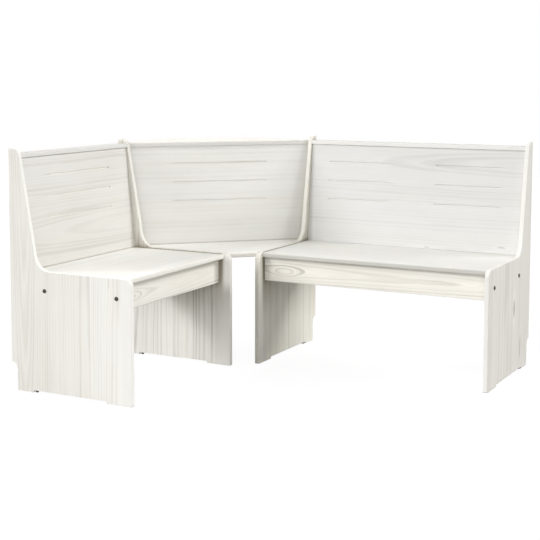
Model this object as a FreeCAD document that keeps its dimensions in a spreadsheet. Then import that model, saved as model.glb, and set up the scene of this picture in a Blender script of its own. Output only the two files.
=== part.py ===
import FreeCAD, Part
import math
import os
import re
from collections import namedtuple

import Sketcher
from FreeCAD import Placement, Rotation, Vector

# Corner bench of whitewashed solid pine: a long bench and a short bench that
# meet at a diagonal corner seat, built from boards, bolts, dowels and screws.
# Millimetres, +Z up. The long bench runs along X and the short one along Y.

NEAR = 0.001

SIZES = [
    # Plan and heights
    ("long_run", 1570, "wall corner to the outer face of the long bench"),
    ("short_run", 1325, "wall corner to the outer face of the short bench"),
    ("corner_side", 600, "wall corner to the near face of each bench"),
    ("panel_depth", 534, "side panel, wall to front edge"),
    ("panel_height", 900, "side panel, floor to top"),
    ("seat_height", 450, "floor to the top of the seats"),
    # Boards
    ("side_thickness", 18, "side panel"),
    ("seat_thickness", 18, "seat board"),
    ("back_thickness", 18, "back board"),
    ("rail_thickness", 18, "apron and rear rail"),
    ("cap_thickness", 16, "cap boards along the top of the backs"),
    # Outline of the side panels
    ("arm_rise", 5.5, "level edge of the side panel above the seat"),
    ("arm_back_depth", 121, "wall to where the leaning edge meets the level edge"),
    ("head_depth", 41.5, "wall to where the leaning edge meets the top"),
    ("head_round", 25, "corner at the top of the leaning edge"),
    ("bend_round", 65, "hollow between the leaning edge and the level edge"),
    ("front_round", 27, "front corner at seat level"),
    ("edge_round", 3.5, "rounding of the exposed edges"),
    ("skirting_depth", 26, "notch for the skirting board, depth"),
    ("skirting_height", 106, "notch for the skirting board, height"),
    ("skirting_round", 25, "inner corner of that notch"),
    ("rear_foot_width", 71, "rear foot at the floor"),
    ("front_foot_width", 107, "front foot at the floor"),
    ("foot_recess", 8, "underside between the feet above the floor"),
    ("foot_slope", 3, "run of the slope at the end of each foot"),
    ("foot_clip", 4, "clipped lower front corner"),
    # Seats
    ("seat_setback", 28, "side panel front to seat front"),
    ("seat_round", 5, "front edge of the seats"),
    # Backs and caps
    ("back_foot_depth", 80.5, "wall to the face of the back at seat level"),
    ("back_head_depth", 38.5, "wall to the face of the back under the cap"),
    ("back_round", 3, "lower front edge of the backs"),
    ("cap_drop", 18.5, "side panel top to cap top"),
    ("cap_depth", 44, "wall to the front of the cap"),
    ("cap_housing", 5, "depth of the groove that houses the back in the cap"),
    ("cap_round", 4, "front edge of the caps"),
    ("groove_width", 5, "routed groove, width"),
    ("groove_depth", 4, "routed groove, depth"),
    ("groove_pitch", 79, "routed groove to the next one above"),
    ("groove_drop", 231, "cap underside to the lowest groove"),
    ("long_groove", 282, "groove in the long back, end to end"),
    ("long_groove_spread", 477, "centre to centre of its two columns"),
    ("wide_groove", 416, "groove in the short and corner backs, end to end"),
    # Rails
    ("rail_height", 98, "apron and rear rail"),
    ("apron_setback", 25.5, "seat front to the face of the apron"),
    ("rear_rail_depth", 164.5, "wall to the face of the rear rail"),
    ("rail_round", 2.5, "lower edges of the apron and rear rail"),
    # Corner module, measured along the diagonal from the wall corner
    ("corner_seat_reach", 774, "to the front of the corner seat"),
    ("corner_back_reach", 444, "to the face of the corner back"),
    ("corner_top_overhang", 5, "top board in front of the corner back"),
    ("corner_cut_reach", 127, "to the cut-off rear corner of the top board"),
    ("cleat_thickness", 20, "seat cleat, across"),
    ("cleat_height", 30, "seat cleat, height"),
    ("cleat_start", 40, "wall to the rear end of the cleat"),
    ("cleat_length", 400, "seat cleat, length"),
    ("batten_side", 20, "square batten under the top board"),
    ("batten_length", 640, "square batten, length"),
    # Connector bolts and barrel nuts
    ("bolt_diameter", 6, "connector bolt, shank"),
    ("bolt_length", 60, "connector bolt under its head"),
    ("bolt_head_diameter", 15.5, "connector bolt, head"),
    ("bolt_head_height", 3, "connector bolt, head"),
    ("bolt_head_round", 2, "rim of the head"),
    ("bolt_socket", 4, "hexagon socket across flats"),
    ("bolt_socket_depth", 2, "hexagon socket, depth"),
    ("nut_diameter", 10, "barrel nut, diameter"),
    ("nut_length", 12, "barrel nut, length"),
    ("nut_reach", 34, "rail end to the centre of the barrel nut"),
    # Dowels
    ("dowel_diameter", 8, "beech dowel"),
    ("dowel_length", 30, "beech dowel"),
    ("dowel_inset", 12, "part of the dowel that sits in the side panel or seat"),
    ("dowel_bevel", 1, "chamfered dowel ends"),
    ("rail_dowel_spread", 60, "centre to centre of the dowels in a rail end"),
    # Screws
    ("screw_diameter", 4, "wood screw"),
    ("screw_head_diameter", 9, "wood screw, head"),
    ("screw_head_height", 2.4, "wood screw, head"),
    ("back_screw_length", 45, "seat to back"),
    ("cleat_screw_length", 34, "cleat to side panel"),
    ("seat_screw_length", 42, "cleat to corner seat"),
    ("batten_screw_length", 31, "batten to top board and corner back"),
    # Levelling screws
    ("leveller_depth", 109, "wall to the axis of the levelling screw"),
    ("leveller_diameter", 6, "levelling screw, shank"),
    ("leveller_length", 24, "levelling screw above its collar"),
    ("leveller_foot_diameter", 11, "levelling screw, foot disc"),
    ("leveller_foot_height", 3, "levelling screw, foot disc"),
    ("collar_size", 8, "hexagon collar across flats"),
    ("insert_diameter", 10, "threaded insert"),
    ("insert_length", 15, "threaded insert"),
    ("floor_gap", 0.4, "levelling screw above the floor when wound in"),
    # Fits
    ("hole_clearance", 0.2, "added to the diameter and the depth of a hole"),
    ("running_clearance", 0.1, "added to the bore of a threaded insert"),
    ("collar_gap", 0.3, "collar below the side panel when wound in"),
]

SEAT_DOWEL_SHARES = (0.12, 0.5, 0.88)
BACK_DOWEL_SHARES = (0.12, 0.5, 0.86)
LONG_SCREW_SHARES = (-0.8, 0, 0.8)
SHORT_SCREW_SHARES = (-0.7, 0.7)
CLEAT_SCREW_SHARES = (0.12, 0.5, 0.88)
CLEAT_SEAT_SHARES = (0.3, 0.7)
CORNER_DOWEL_SHARES = (-0.8, 0, 0.8)
BATTEN_TOP_SHARES = (-0.85, 0, 0.85)
BATTEN_BACK_SHARES = (-0.5, 0.5)
GROOVE_ROWS = 3
WHOLE_BODY = "Whole shape"
HEXAGON_SIDES = 6

# Lengths that several boards share, worked out from the named sizes

SEAT_UNDER = "(seat_height - seat_thickness)"
SEAT_FRONT = "(panel_depth - seat_setback)"
ARM_HEIGHT = "(seat_height + arm_rise)"
CAP_TOP = "(panel_height - cap_drop)"
CAP_UNDER = "(panel_height - cap_drop - cap_thickness)"
BACK_SLOPE = f"((back_foot_depth - back_head_depth) / ({CAP_UNDER} - seat_height))"
BACK_WIDTH = f"(back_thickness * sqrt(1 + {BACK_SLOPE} ^ 2))"
SEAT_REAR = f"(back_foot_depth - {BACK_WIDTH})"
APRON_FACE = f"({SEAT_FRONT} - apron_setback)"
RAIL_MIDDLE = f"({SEAT_UNDER} - rail_height / 2)"
RAIL_FACES = {"front_apron": APRON_FACE, "rear_rail": "rear_rail_depth"}
DOWEL_HOLE = "(dowel_diameter + hole_clearance)"
SCREW_HOLE = "(screw_diameter + hole_clearance)"
BOLT_HOLE = "(bolt_diameter + hole_clearance)"
NUT_HOLE = "(nut_diameter + hole_clearance)"
WALL_CORNER = ("(-(long_run + bolt_head_height) / 2)", "((short_run + bolt_head_height) / 2)")

Bench = namedtuple("Bench", "name run turn corner_end groove columns screw_shares")
LONG = Bench("long", "long_run", -90, -1, "long_groove",
             ("-long_groove_spread / 2", "long_groove_spread / 2"), LONG_SCREW_SHARES)
SHORT = Bench("short", "short_run", 0, 1, "wide_groove", ("0",), SHORT_SCREW_SHARES)

doc = FreeCAD.newDocument("corner_bench")
sheet = doc.addObject("Spreadsheet::Sheet", "Sizes")
for row, (alias, value, meaning) in enumerate(SIZES, start=1):
    sheet.set(f"A{row}", meaning)
    sheet.set(f"B{row}", str(value))
    sheet.setAlias(f"B{row}", alias)
doc.recompute()

ALIASES = {alias for alias, value, meaning in SIZES}
subparts = []


# Helpers

def in_sheet(text):
    """Write every size named in an expression as a cell of the sheet."""
    return re.sub(r"[a-z]\w*", lambda word: qualified(word.group()), text)


def qualified(word):
    return f"Sizes.{word}" if word in ALIASES else word


def bind(thing, path, text):
    thing.setExpression(path, in_sheet(text))


def size(alias):
    return float(sheet.get(alias))


def new_body(label, place, turn):
    """A sub-part whose own origin stands at place, turned about Z."""
    body = doc.addObject("PartDesign::Body", label)
    body.Placement = Placement(Vector(), Rotation(Vector(0, 0, 1), turn))
    bind(body, "Placement.Base.x", place[0])
    bind(body, "Placement.Base.y", place[1])
    subparts.append(body)
    return body


def bench_body(label, bench, along="0"):
    """In a bench's own frame X leads from the wall to the front, Y runs along
    the wall from the middle of the bench, and Z is up."""
    middle = f"({bench.run} + corner_side) / 2"
    if bench is LONG:
        place = (f"{WALL_CORNER[0]} + {middle} + {along}", WALL_CORNER[1])
    else:
        place = (WALL_CORNER[0], f"{WALL_CORNER[1]} - {middle} + {along}")
    return new_body(f"{bench.name}_{label}", place, bench.turn)


def corner_body(label):
    """In the corner's own frame X leads from the wall corner into the room."""
    return new_body(f"corner_{label}", WALL_CORNER, -45)


def half_run(bench):
    return f"(({bench.run} - corner_side) / 2)"


def inner_half(bench):
    return f"({half_run(bench)} - side_thickness)"


def origin_plane(body, role):
    return next(item for item in body.Origin.OriginFeatures if item.Role == role)


def new_sketch(body, name, plane, level="0"):
    """A sketch on one of the body's planes, moved to level on the axis across it."""
    sketch = body.newObject("Sketcher::SketchObject", name)
    sketch.AttachmentSupport = [(origin_plane(body, plane), "")]
    sketch.MapMode = "FlatFace"
    sign = "-" if plane == "XZ_Plane" else ""
    bind(sketch, "AttachmentOffset.Base.z", f"{sign}({level})")
    return sketch


def pin(sketch, kind, geometry, point, start, text):
    """Hold a point of the sketch at a distance from its origin."""
    number = sketch.addConstraint(Sketcher.Constraint(kind, -1, 1, geometry, point, start))
    bind(sketch, f"Constraints[{number}]", text)


def draw_outline(sketch, corners):
    """A closed outline of straight lines through corners."""
    count = len(corners)
    turns = [2 * math.pi * number / count for number in range(count)]
    spots = [Vector(math.cos(turn), math.sin(turn), 0) for turn in turns]
    lines = []
    for number in range(count):
        side = Part.LineSegment(spots[number], spots[(number + 1) % count])
        lines.append(sketch.addGeometry(side))
    for number, line in enumerate(lines):
        after = lines[(number + 1) % count]
        sketch.addConstraint(Sketcher.Constraint("Coincident", line, 2, after, 1))
    for line, spot, corner in zip(lines, spots, corners):
        pin(sketch, "DistanceX", line, 1, spot.x, corner[0])
        pin(sketch, "DistanceY", line, 1, spot.y, corner[1])


def draw_box(sketch, low, high):
    draw_outline(sketch, [low, (high[0], low[1]), high, (low[0], high[1])])


def draw_hexagon(sketch, spot, across):
    corners = []
    for number in range(HEXAGON_SIDES):
        turn = number * 360 / HEXAGON_SIDES
        corners.append((f"{spot[0]} + {across} / sqrt(3) * cos({turn})",
                        f"{spot[1]} + {across} / sqrt(3) * sin({turn})"))
    draw_outline(sketch, corners)


def draw_circles(sketch, spots, diameter):
    for spot in spots:
        circle = sketch.addGeometry(Part.Circle(Vector(1, 1, 0), Vector(0, 0, 1), 1))
        pin(sketch, "DistanceX", circle, 3, 1, spot[0])
        pin(sketch, "DistanceY", circle, 3, 1, spot[1])
        number = sketch.addConstraint(Sketcher.Constraint("Diameter", circle, 2))
        bind(sketch, f"Constraints[{number}]", diameter)


def sketch_normal(sketch):
    return sketch.Placement.Rotation.multVec(Vector(0, 0, 1))


def pad(body, name, sketch, length, toward=None):
    """Raise a sketch by length towards a direction, or half to each side."""
    sketch.recompute()
    feature = body.newObject("PartDesign::Pad", name)
    feature.Profile = sketch
    bind(feature, "Length", length)
    if toward is None:
        feature.SideType = "Symmetric"
    else:
        feature.Reversed = sketch_normal(sketch).dot(toward) < 0
    feature.recompute()
    return feature


def pocket(body, name, sketch, depth, toward):
    """Cut a sketch to a depth towards a direction."""
    sketch.recompute()
    before = body.Tip.Shape.Volume
    feature = body.newObject("PartDesign::Pocket", name)
    feature.Profile = sketch
    bind(feature, "Length", depth)
    feature.Reversed = sketch_normal(sketch).dot(toward) > 0
    feature.recompute()
    if feature.Shape.Volume >= before:
        raise RuntimeError(f"{body.Label}: {name} cuts nothing")
    return feature


def drill(body, name, plane, level, spots, diameter, depth, toward):
    sketch = new_sketch(body, f"{name}_sketch", plane, level)
    draw_circles(sketch, spots, diameter)
    return pocket(body, name, sketch, depth, toward)


def pegs(body, name, plane, level, spots, diameter, length, toward):
    sketch = new_sketch(body, f"{name}_sketch", plane, level)
    draw_circles(sketch, spots, diameter)
    return pad(body, name, sketch, length, toward)


def mirror(body, name, features=()):
    """Repeat features, or the whole body, on the other side of its middle."""
    feature = body.newObject("PartDesign::Mirrored", name)
    if features:
        feature.Originals = features
    else:
        feature.TransformMode = WHOLE_BODY
    feature.MirrorPlane = (origin_plane(body, "XZ_Plane"), [""])
    body.Tip = feature
    feature.recompute()
    return feature


def round_edges(body, name, feature, edges, radius):
    rounding = body.newObject("PartDesign::Fillet", name)
    rounding.Base = (feature, edges)
    bind(rounding, "Radius", radius)
    rounding.recompute()
    return rounding


def bevel_edges(body, name, feature, edges, width):
    bevel = body.newObject("PartDesign::Chamfer", name)
    bevel.Base = (feature, edges)
    bind(bevel, "Size", width)
    bevel.recompute()
    return bevel


def corner_edges(feature, sketch, corners):
    """The edges that run square to the sketch through some of its corners."""
    normal = sketch_normal(sketch)
    spots = [sketch.Placement.multVec(sketch.Geometry[corner].StartPoint) for corner in corners]
    return [f"Edge{number}" for number, edge in enumerate(feature.Shape.Edges, start=1)
            if any(through(edge, spot, normal) for spot in spots)]


def through(edge, spot, normal):
    return all((vertex.Point - spot).cross(normal).Length < NEAR for vertex in edge.Vertexes)


def edges_where(feature, test):
    return [f"Edge{number}" for number, edge in enumerate(feature.Shape.Edges, start=1)
            if test(edge.BoundBox)]


def flat_in_y(box):
    return box.YLength < NEAR


FORWARD = Vector(1, 0, 0)
BACKWARD = Vector(-1, 0, 0)
UP = Vector(0, 0, 1)


def sideways(end):
    """Along the bench, towards its first end (-1) or its last end (1)."""
    return Vector(0, end, 0)


# Places of the fastenings, used by the holes and by what sits in them

def rail_spots():
    return [(f"({face} - rail_thickness / 2)", RAIL_MIDDLE) for face in RAIL_FACES.values()]


def rail_dowel_spots(face):
    return [(f"({face} - rail_thickness / 2)", f"{RAIL_MIDDLE} {sign} rail_dowel_spread / 2")
            for sign in "-+"]


def seat_dowel_spots():
    return [(f"{SEAT_REAR} + ({SEAT_FRONT} - {SEAT_REAR}) * {share}",
             "seat_height - seat_thickness / 2") for share in SEAT_DOWEL_SHARES]


def back_dowel_spots():
    spots = []
    for share in BACK_DOWEL_SHARES:
        rise = f"({CAP_UNDER} - seat_height) * {share}"
        depth = f"back_foot_depth - {BACK_WIDTH} / 2 - {BACK_SLOPE} * {rise}"
        spots.append((depth, f"seat_height + {rise}"))
    return spots


def cleat_spots(shares, height):
    return [(f"cleat_start + cleat_length * {share}", height) for share in shares]


def back_screw_spots(bench):
    depth = f"(back_foot_depth - {BACK_WIDTH} / 2)"
    return [(depth, f"{inner_half(bench)} * ({share})") for share in bench.screw_shares]


def corner_seat_screw_spots():
    """Where the cleat screws meet the corner seat, in the corner's frame."""
    across = "(corner_side - cleat_thickness / 2)"
    spots = []
    for share in CLEAT_SEAT_SHARES:
        depth = f"(cleat_start + cleat_length * {share})"
        along = f"({across} + {depth}) / sqrt(2)"
        aside = f"({across} - {depth}) / sqrt(2)"
        spots += [(along, aside), (along, f"-{aside}")]
    return spots


def corner_dowel_spots():
    depth = "corner_back_reach - back_thickness / 2"
    return [(depth, f"batten_length / 2 * ({share})") for share in CORNER_DOWEL_SHARES]


# Boards of one bench

def side_panel(bench, end):
    """End is -1 or 1. The panel's inner face is its own XZ plane."""
    at_corner = end == bench.corner_end
    label = "inner_side_panel" if at_corner else "outer_side_panel"
    body = bench_body(label, bench, f"({end}) * {inner_half(bench)}")
    outward = sideways(end)
    inward = sideways(-end)
    rear_foot = "(skirting_depth + rear_foot_width)"
    front_foot = "(panel_depth - front_foot_width)"
    outline = new_sketch(body, "outline", "XZ_Plane")
    draw_outline(outline, [
        ("skirting_depth", "0"),
        (rear_foot, "0"),
        (f"{rear_foot} + foot_slope", "foot_recess"),
        (f"{front_foot} - foot_slope", "foot_recess"),
        (front_foot, "0"),
        ("panel_depth - foot_clip", "0"),
        ("panel_depth", "foot_clip"),
        ("panel_depth", ARM_HEIGHT),
        ("arm_back_depth", ARM_HEIGHT),
        ("head_depth", "panel_height"),
        ("0", "panel_height"),
        ("0", "skirting_height"),
        ("skirting_depth", "skirting_height"),
    ])
    last = pad(body, "board", outline, "side_thickness", outward)
    for name, corner, radius in (("front_corner", 7, "front_round"), ("bend", 8, "bend_round"),
                                 ("head", 9, "head_round"), ("skirting_corner", 12, "skirting_round")):
        last = round_edges(body, name, last, corner_edges(last, outline, [corner]), radius)
    exposed = edges_where(last, lambda box: flat_in_y(box) and box.XMax > NEAR
                          and box.ZMax > size("skirting_height") + NEAR)
    round_edges(body, "rounded_edges", last, exposed, "edge_round")
    drill(body, "bolt_holes", "XZ_Plane", "0", rail_spots(), BOLT_HOLE, "side_thickness", outward)
    dowels = seat_dowel_spots() + back_dowel_spots()
    for face in RAIL_FACES.values():
        dowels += rail_dowel_spots(face)
    drill(body, "dowel_holes", "XZ_Plane", "0", dowels, DOWEL_HOLE,
          "dowel_inset + hole_clearance", outward)
    axis = [("leveller_depth", f"({end}) * side_thickness / 2")]
    drill(body, "insert_hole", "XY_Plane", "foot_recess", axis,
          "insert_diameter + hole_clearance", "insert_length + hole_clearance", UP)
    drill(body, "leveller_hole", "XY_Plane", "foot_recess", axis,
          "leveller_diameter + 2 * hole_clearance", "leveller_length + foot_recess", UP)
    if at_corner:
        drill(body, "cleat_holes", "XZ_Plane", f"({end}) * side_thickness",
              cleat_spots(CLEAT_SCREW_SHARES, f"{SEAT_UNDER} - cleat_height / 2"), SCREW_HOLE,
              "cleat_screw_length - cleat_thickness + hole_clearance", inward)


def drill_ends(body, bench, name, spots, diameter, depth):
    """Holes in the first end of a board and the same in its last end."""
    holes = drill(body, name, "XZ_Plane", f"-{inner_half(bench)}", spots, diameter, depth, sideways(1))
    return mirror(body, f"{name}_at_last_end", [holes])


def long_board(label, bench, corners, rounded, radius):
    """A board of one section, from side panel to side panel."""
    body = bench_body(label, bench)
    section = new_sketch(body, "section", "XZ_Plane")
    draw_outline(section, corners)
    board = pad(body, "board", section, f"2 * {inner_half(bench)}")
    if rounded:
        round_edges(body, "rounded_edges", board, corner_edges(board, section, rounded), radius)
    return body


def seat_board(bench):
    corners = [(SEAT_REAR, SEAT_UNDER), (SEAT_FRONT, SEAT_UNDER),
               (SEAT_FRONT, "seat_height"), (SEAT_REAR, "seat_height")]
    body = long_board("seat_board", bench, corners, [1, 2], "seat_round")
    drill_ends(body, bench, "dowel_holes", seat_dowel_spots(), DOWEL_HOLE,
               "dowel_length - dowel_inset + hole_clearance")
    drill(body, "screw_holes", "XY_Plane", SEAT_UNDER, back_screw_spots(bench), SCREW_HOLE,
          "seat_thickness", UP)


def back_board(bench):
    top = f"({CAP_UNDER} + cap_housing)"
    head = f"(back_head_depth - {BACK_SLOPE} * cap_housing)"
    corners = [(SEAT_REAR, "seat_height"), ("back_foot_depth", "seat_height"),
               (head, top), (f"{head} - {BACK_WIDTH}", top)]
    body = long_board("back_board", bench, corners, [1], "back_round")
    drill_ends(body, bench, "dowel_holes", back_dowel_spots(), DOWEL_HOLE,
               "dowel_length - dowel_inset + hole_clearance")
    drill(body, "screw_holes", "XY_Plane", "seat_height", back_screw_spots(bench), SCREW_HOLE,
          "back_screw_length - seat_thickness + hole_clearance", UP)
    rout_grooves(body, "back_foot_depth", BACK_SLOPE, bench.groove, bench.columns)


def leaning_sketch(body, name, face, slope):
    """A sketch on the face of a back, its origin at seat level."""
    sketch = new_sketch(body, name, "YZ_Plane", face)
    sketch.AttachmentOffset = Placement(Vector(), Rotation(Vector(1, 0, 0), -1))
    bind(sketch, "AttachmentOffset.Base.y", "seat_height")
    bind(sketch, "AttachmentOffset.Rotation.Angle", f"-atan({slope})")
    return sketch


def rout_grooves(body, face, slope, length, columns):
    """Rows of round-ended grooves in the front of a back that leans by slope."""
    stretch = f"sqrt(1 + ({slope}) ^ 2)"
    low = f"({CAP_UNDER} - groove_drop - seat_height) * {stretch}"
    reach = f"({length} - groove_width) / 2"
    runs = leaning_sketch(body, "groove_runs", face, slope)
    ends = leaning_sketch(body, "groove_ends", face, slope)
    for column in columns:
        draw_box(runs, (f"{column} - {reach}", f"{low} - groove_width / 2"),
                 (f"{column} + {reach}", f"{low} + groove_width / 2"))
        draw_circles(ends, [(f"{column} - {reach}", low), (f"{column} + {reach}", low)],
                     "groove_width")
    cuts = [pocket(body, "straight_runs", runs, "groove_depth", BACKWARD),
            pocket(body, "round_ends", ends, "groove_depth", BACKWARD)]
    rows = body.newObject("PartDesign::LinearPattern", "groove_rows")
    rows.Originals = cuts
    rows.Direction = (runs, ["V_Axis"])
    bind(rows, "Length", f"groove_pitch * {stretch} * {GROOVE_ROWS - 1}")
    rows.Occurrences = GROOVE_ROWS
    body.Tip = rows
    rows.recompute()


def cap_board(bench):
    """Its underside has a groove that houses the top of the back."""
    low = f"(back_head_depth - {BACK_SLOPE} * cap_housing - {BACK_WIDTH} - hole_clearance)"
    high = "(back_head_depth + hole_clearance)"
    roof = f"({CAP_UNDER} + cap_housing)"
    corners = [("0", CAP_UNDER), (low, CAP_UNDER), (low, roof), (high, roof), (high, CAP_UNDER),
               ("cap_depth", CAP_UNDER), ("cap_depth", CAP_TOP), ("0", CAP_TOP)]
    long_board("cap_board", bench, corners, [6], "cap_round")


def rail(bench, label):
    """An apron or a rear rail, bolted and dowelled at both ends."""
    face = RAIL_FACES[label]
    rear = f"({face} - rail_thickness)"
    low = f"({SEAT_UNDER} - rail_height)"
    corners = [(rear, low), (face, low), (face, SEAT_UNDER), (rear, SEAT_UNDER)]
    body = long_board(label, bench, corners, [0, 1], "rail_round")
    centre = [(f"{face} - rail_thickness / 2", RAIL_MIDDLE)]
    drill_ends(body, bench, "bolt_hole", centre, BOLT_HOLE,
               "bolt_length - side_thickness + hole_clearance")
    drill_ends(body, bench, "dowel_holes", rail_dowel_spots(face), DOWEL_HOLE,
               "dowel_length - dowel_inset + hole_clearance")
    nut = [(f"nut_reach - {inner_half(bench)}", RAIL_MIDDLE)]
    holes = drill(body, "nut_hole", "YZ_Plane", rear, nut, NUT_HOLE,
                  "(rail_thickness + nut_length) / 2 + hole_clearance", FORWARD)
    mirror(body, "nut_hole_at_last_end", [holes])


# Fastenings of one bench

def connector_bolts(bench):
    """Domed bolts with a hexagon socket, from the outside of each side panel."""
    body = bench_body("connector_bolts", bench)
    crown = f"-{half_run(bench)} - bolt_head_height"
    inward = sideways(1)
    pegs(body, "shanks", "XZ_Plane", f"-{half_run(bench)}", rail_spots(), "bolt_diameter",
         "bolt_length", inward)
    heads = pegs(body, "heads", "XZ_Plane", crown, rail_spots(), "bolt_head_diameter",
                 "bolt_head_height", inward)
    outermost = heads.Shape.BoundBox.YMin
    rims = edges_where(heads, lambda box: flat_in_y(box) and box.YMin < outermost + NEAR)
    round_edges(body, "domes", heads, rims, "bolt_head_round")
    sockets = new_sketch(body, "sockets_sketch", "XZ_Plane", crown)
    for spot in rail_spots():
        draw_hexagon(sockets, spot, "bolt_socket")
    pocket(body, "sockets", sockets, "bolt_socket_depth", inward)
    mirror(body, "last_end")


def barrel_nuts(bench):
    body = bench_body("barrel_nuts", bench)
    spot = [(f"nut_reach - {inner_half(bench)}", RAIL_MIDDLE)]
    for label, face in RAIL_FACES.items():
        pegs(body, f"{label}_nut", "YZ_Plane", f"{face} - (rail_thickness + nut_length) / 2", spot,
             "nut_diameter", "nut_length", FORWARD)
    drill(body, "cross_holes", "XZ_Plane", f"-{inner_half(bench)}", rail_spots(), BOLT_HOLE,
          "2 * nut_reach", sideways(1))
    mirror(body, "last_end")


def end_dowels(bench, label, spots):
    """Dowels between the ends of a board and the side panels."""
    body = bench_body(label, bench)
    dowels = pegs(body, "dowels", "XZ_Plane", f"-{inner_half(bench)} - dowel_inset", spots,
                  "dowel_diameter", "dowel_length", sideways(1))
    bevel_edges(body, "bevels", dowels, edges_where(dowels, flat_in_y), "dowel_bevel")
    mirror(body, "last_end")


def drive_screws(body, name, plane, level, spots, length, toward):
    """Pan-head screws driven towards a direction, their heads at level."""
    pegs(body, f"{name}_shanks", plane, level, spots, "screw_diameter", length, toward)
    pegs(body, f"{name}_heads", plane, level, spots, "screw_head_diameter", "screw_head_height",
         toward * -1)


def back_screws(bench):
    body = bench_body("back_screws", bench)
    drive_screws(body, "seat", "XY_Plane", SEAT_UNDER, back_screw_spots(bench),
                 "back_screw_length", UP)


def seat_cleat(bench):
    """The batten on the corner side of a bench that carries the corner seat."""
    end = bench.corner_end
    body = bench_body("corner_cleat", bench, f"({end}) * {half_run(bench)}")
    low = f"({SEAT_UNDER} - cleat_height)"
    face = new_sketch(body, "face", "XZ_Plane")
    draw_box(face, ("cleat_start", low), ("cleat_start + cleat_length", SEAT_UNDER))
    pad(body, "batten", face, "cleat_thickness", sideways(end))
    drill(body, "side_holes", "XZ_Plane", "0",
          cleat_spots(CLEAT_SCREW_SHARES, f"{SEAT_UNDER} - cleat_height / 2"), SCREW_HOLE,
          "cleat_thickness", sideways(end))
    drill(body, "seat_holes", "XY_Plane", low,
          cleat_spots(CLEAT_SEAT_SHARES, f"({end}) * cleat_thickness / 2"), SCREW_HOLE,
          "cleat_height", UP)


def cleat_screws(bench):
    end = bench.corner_end
    body = bench_body("cleat_screws", bench, f"({end}) * {half_run(bench)}")
    drive_screws(body, "side", "XZ_Plane", f"({end}) * cleat_thickness",
                 cleat_spots(CLEAT_SCREW_SHARES, f"{SEAT_UNDER} - cleat_height / 2"),
                 "cleat_screw_length", sideways(-end))


def leveller_inserts(bench):
    body = bench_body("leveller_inserts", bench)
    across = f"({half_run(bench)} - side_thickness / 2)"
    spots = [("leveller_depth", f"-{across}"), ("leveller_depth", across)]
    pegs(body, "sleeves", "XY_Plane", "foot_recess", spots, "insert_diameter", "insert_length", UP)
    drill(body, "bores", "XY_Plane", "foot_recess", spots,
          "leveller_diameter + running_clearance", "insert_length", UP)


def leveller(bench, end):
    """A foot disc, a hexagon collar for a spanner and a shank, wound right in."""
    label = "inner_leveller" if end == bench.corner_end else "outer_leveller"
    body = bench_body(label, bench, f"({end}) * ({half_run(bench)} - side_thickness / 2)")
    axis = ("leveller_depth", "0")
    pegs(body, "foot", "XY_Plane", "floor_gap", [axis], "leveller_foot_diameter",
         "leveller_foot_height", UP)
    collar = new_sketch(body, "collar_sketch", "XY_Plane", "floor_gap + leveller_foot_height")
    draw_hexagon(collar, axis, "collar_size")
    pad(body, "collar", collar, "foot_recess - collar_gap - floor_gap - leveller_foot_height", UP)
    pegs(body, "shank", "XY_Plane", "foot_recess - collar_gap", [axis], "leveller_diameter",
         "leveller_length", UP)


# Corner module

CORNER_REACH = "(corner_side * sqrt(2))"
CORNER_REAR = "(corner_back_reach - back_thickness)"
TOP_FRONT = "(corner_back_reach + corner_top_overhang)"


def mitred_board(label, rear, front, low, height):
    """A board across the corner, its ends cut along the two inner side panels."""
    body = corner_body(label)
    plan = new_sketch(body, "plan", "XY_Plane", low)
    draw_outline(plan, [(rear, f"{rear} - {CORNER_REACH}"), (front, f"{front} - {CORNER_REACH}"),
                        (front, f"{CORNER_REACH} - {front}"), (rear, f"{CORNER_REACH} - {rear}")])
    return body, pad(body, "board", plan, height, UP)


def front_edges(feature):
    """The edges that run across the front of a corner board."""
    front = feature.Shape.BoundBox.XMax
    return edges_where(feature, lambda box: box.XMin > front - NEAR and box.YLength > NEAR)


def corner_seat():
    body, board = mitred_board("seat_board", CORNER_REAR, "corner_seat_reach", SEAT_UNDER,
                               "seat_thickness")
    round_edges(body, "rounded_edges", board, front_edges(board), "seat_round")
    drill(body, "screw_holes", "XY_Plane", SEAT_UNDER, corner_seat_screw_spots(), SCREW_HOLE,
          "seat_screw_length - cleat_height + hole_clearance", UP)
    drill(body, "dowel_holes", "XY_Plane", "seat_height", corner_dowel_spots(), DOWEL_HOLE,
          "dowel_inset + hole_clearance", UP * -1)


def corner_back():
    body, board = mitred_board("back_board", CORNER_REAR, "corner_back_reach", "seat_height",
                               f"{CAP_UNDER} + cap_housing - seat_height")
    height = board.Shape.BoundBox.ZMin
    lower = edges_where(board, lambda box: box.XMin > board.Shape.BoundBox.XMax - NEAR
                        and box.YLength > NEAR and box.ZMax < height + NEAR)
    round_edges(body, "rounded_edge", board, lower, "back_round")
    drill(body, "dowel_holes", "XY_Plane", "seat_height", corner_dowel_spots(), DOWEL_HOLE,
          "dowel_length - dowel_inset + hole_clearance", UP)
    drill(body, "screw_holes", "YZ_Plane", CORNER_REAR,
          batten_spots(BATTEN_BACK_SHARES, f"{CAP_UNDER} - batten_side / 2"), SCREW_HOLE,
          "batten_screw_length - batten_side + hole_clearance", FORWARD)
    rout_grooves(body, "corner_back_reach", "0", "wide_groove", ("0",))


def batten_spots(shares, height):
    return [(f"batten_length / 2 * ({share})", height) for share in shares]


def batten_plan_spots():
    return [(f"({CORNER_REAR} - batten_side / 2)", f"batten_length / 2 * ({share})")
            for share in BATTEN_TOP_SHARES]


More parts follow.
